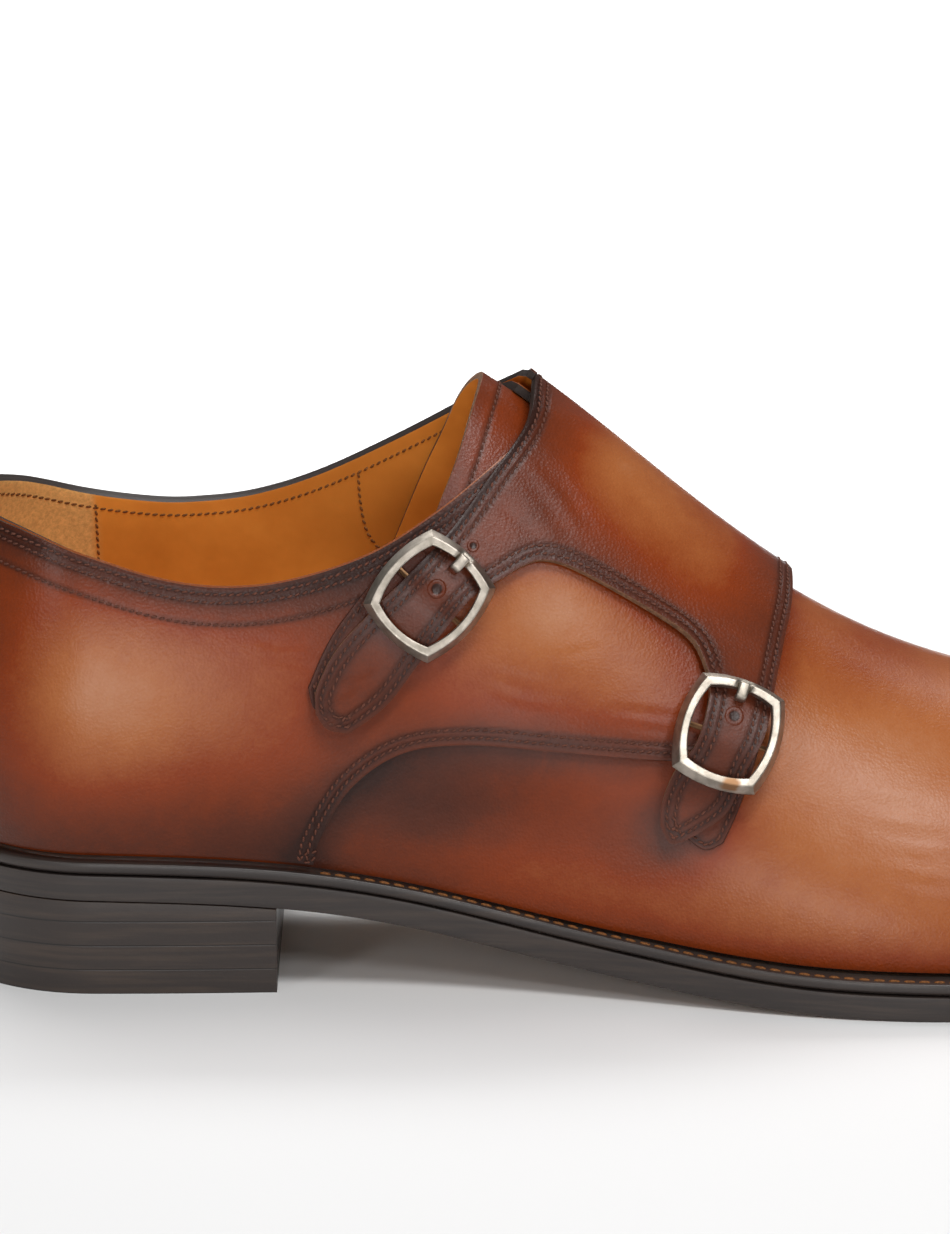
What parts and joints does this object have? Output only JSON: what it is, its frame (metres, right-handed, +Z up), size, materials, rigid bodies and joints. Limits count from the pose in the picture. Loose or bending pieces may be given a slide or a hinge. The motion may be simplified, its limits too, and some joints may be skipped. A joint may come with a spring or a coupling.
{
  "type": "double monk strap shoe",
  "caption": "Right dress shoe with two buckled straps over the instep, an open collar, a welted leather sole and a stacked heel; it is worn on the foot.",
  "frame": {"origin": "on the floor under the middle of the shoe's length and width", "axes": "+X from heel to toe, +Y to the medial side, +Z up"},
  "size_m": [0.3066, 0.1026, 0.1214],
  "materials": {
    "brown_leather": "burnished calf leather, light brown with darker edges",
    "dark_leather": "burnished dark brown leather with a black edge",
    "lining_leather": "tan lining leather",
    "sole_leather": "dark dyed sole leather",
    "nickel": "antique nickel, satin"
  },
  "bodies": {
    "root": {"outsole": "sole_leather", "heel": "sole_leather", "welt": "sole_leather", "insole": "lining_leather", "upper": "brown_leather", "tongue": "brown_leather", "quarter_lateral": "brown_leather", "quarter_medial_with_straps": "brown_leather", "tab_upper": "dark_leather", "tab_lower": "dark_leather", "buckle_upper": "nickel", "prong_upper": "nickel", "buckle_lower": "nickel", "prong_lower": "nickel"}
  },
  "joints": []
}
